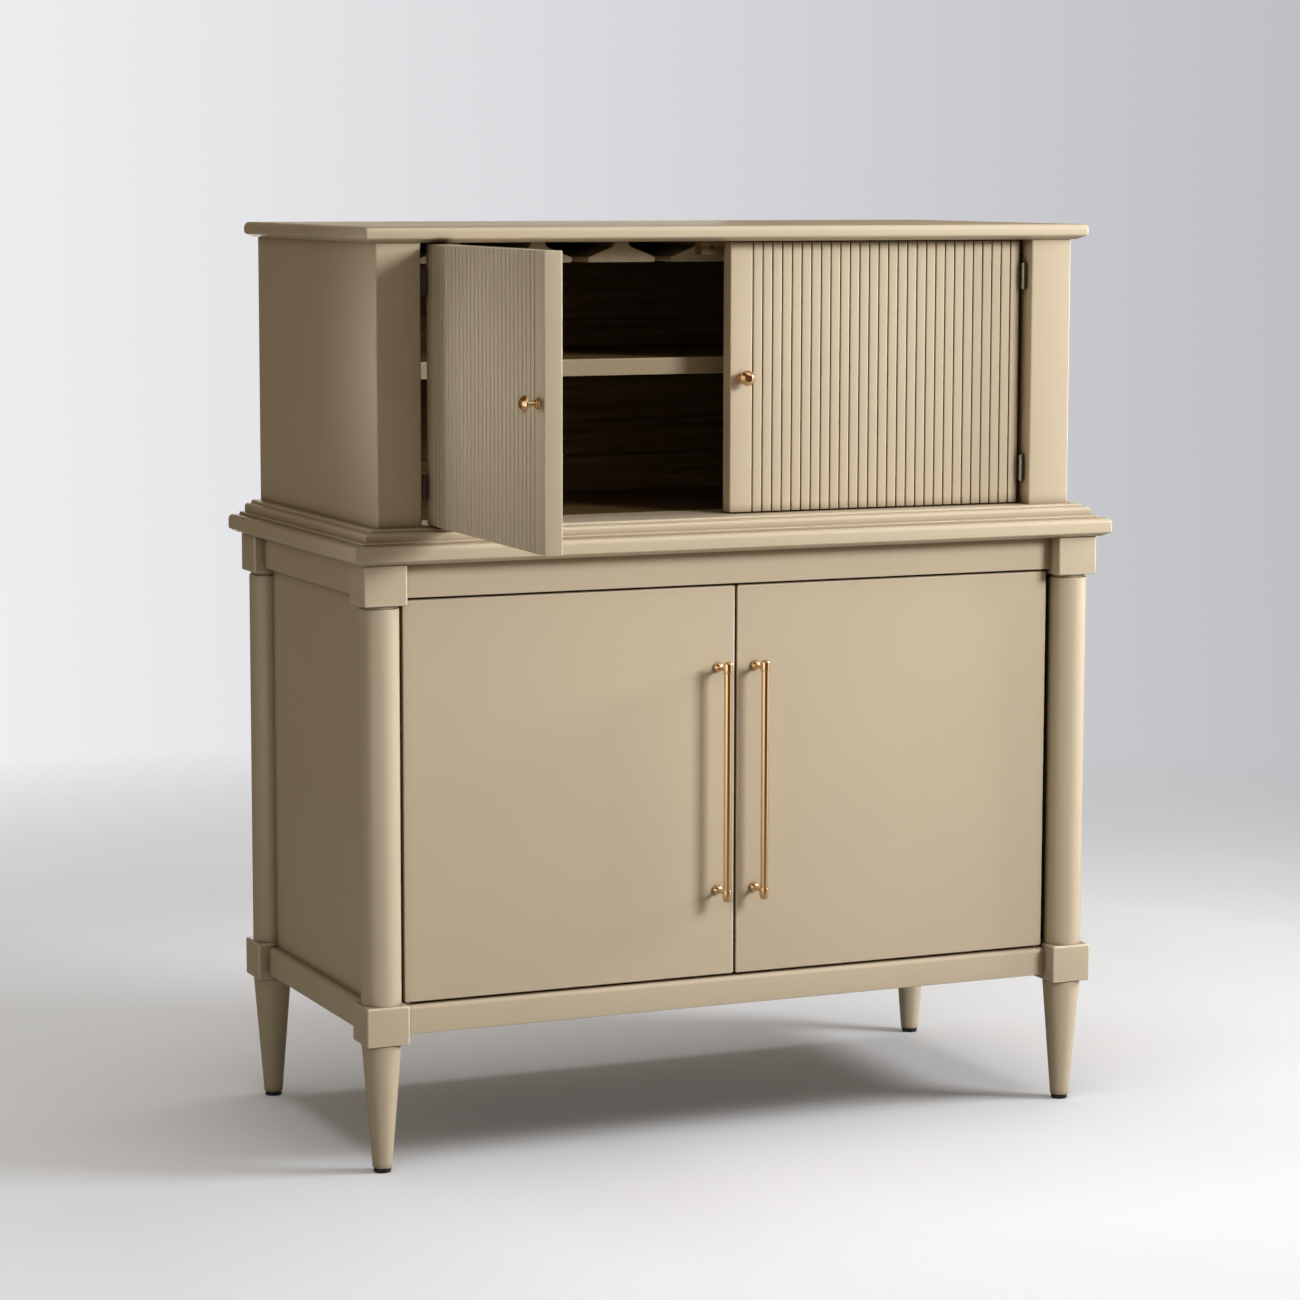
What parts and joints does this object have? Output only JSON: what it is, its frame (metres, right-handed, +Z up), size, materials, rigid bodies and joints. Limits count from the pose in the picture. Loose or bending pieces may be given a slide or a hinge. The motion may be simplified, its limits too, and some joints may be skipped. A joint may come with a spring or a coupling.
{
  "type": "bar cabinet",
  "caption": "Two-stage painted bar cabinet with turned corner posts, flat base doors with bar pulls, and a reeded-door hutch that holds a shelf and a stemware rack.",
  "frame": {"origin": "on the floor, at the centre of the four feet", "axes": "+X to the right as seen from the front, -Y to the front where the doors are, +Z up"},
  "size_m": [1.172, 0.9646, 1.3],
  "materials": {
    "painted_wood": "satin taupe paint",
    "dark_wood": "dark brown stain, matt",
    "brass": "satin-polished warm brass",
    "steel": "nickel-plated",
    "glide_plastic": "matt black"
  },
  "bodies": {
    "carcass": {"leg_front_left": "painted_wood", "leg_front_right": "painted_wood", "leg_rear_left": "painted_wood", "leg_rear_right": "painted_wood", "post_front_left": "painted_wood", "post_front_right": "painted_wood", "post_rear_left": "painted_wood", "post_rear_right": "painted_wood", "front_rail": "painted_wood", "rear_rail": "painted_wood", "side_rail_left": "painted_wood", "side_rail_right": "painted_wood", "front_apron": "painted_wood", "rear_apron": "painted_wood", "side_apron_left": "painted_wood", "side_apron_right": "painted_wood", "side_panel_left": "painted_wood", "side_panel_right": "painted_wood", "counter_top": "painted_wood", "hutch_plinth": "painted_wood", "hutch_side_left": "painted_wood", "hutch_side_right": "painted_wood", "pilaster_left": "painted_wood", "pilaster_right": "painted_wood", "hutch_shelf": "painted_wood", "stemware_rails": "painted_wood", "top_slab": "painted_wood", "lower_back_panel": "dark_wood", "cabinet_floor": "dark_wood", "lower_shelf": "dark_wood", "hutch_back_panel": "dark_wood", "hutch_back_rail": "dark_wood", "door_stops": "dark_wood", "pivot_bushes": "brass", "leg_bolts": "steel", "shelf_pins": "steel", "door_magnets": "steel", "hinge_frame_leaves": "steel", "hinge_pins": "steel", "foot_glides": "glide_plastic"},
    "upper_left_door": {"upper_left_door_panel": "painted_wood", "upper_left_knob": "brass", "upper_left_hinge_leaves": "steel", "upper_left_knob_screw": "steel", "upper_left_strike": "steel"},
    "upper_right_door": {"upper_right_door_panel": "painted_wood", "upper_right_knob": "brass", "upper_right_hinge_leaves": "steel", "upper_right_knob_screw": "steel", "upper_right_strike": "steel"},
    "lower_left_door": {"lower_left_door_panel": "painted_wood", "lower_left_pull": "brass", "lower_left_pull_screws": "steel", "lower_left_pivot_pins": "steel", "lower_left_strike": "steel"},
    "lower_right_door": {"lower_right_door_panel": "painted_wood", "lower_right_pull": "brass", "lower_right_pull_screws": "steel", "lower_right_pivot_pins": "steel", "lower_right_strike": "steel"}
  },
  "joints": [
    {"name": "upper_left_hinge", "type": "hinge", "parent": "carcass", "child": "upper_left_door", "pos_m": [-0.468, -0.2215, 1.08525], "axis": [0, 0, 1], "range_deg": [-18, 92]},
    {"name": "upper_right_hinge", "type": "hinge", "parent": "carcass", "child": "upper_right_door", "pos_m": [0.468, -0.2215, 1.08525], "axis": [0, 0, 1], "range_deg": [0, 110]},
    {"name": "lower_left_pivot", "type": "hinge", "parent": "carcass", "child": "lower_left_door", "pos_m": [-0.496, -0.233, 0.514], "axis": [0, 0, -1], "range_deg": [0, 90]},
    {"name": "lower_right_pivot", "type": "hinge", "parent": "carcass", "child": "lower_right_door", "pos_m": [0.496, -0.233, 0.514], "axis": [0, 0, 1], "range_deg": [0, 90]}
  ]
}
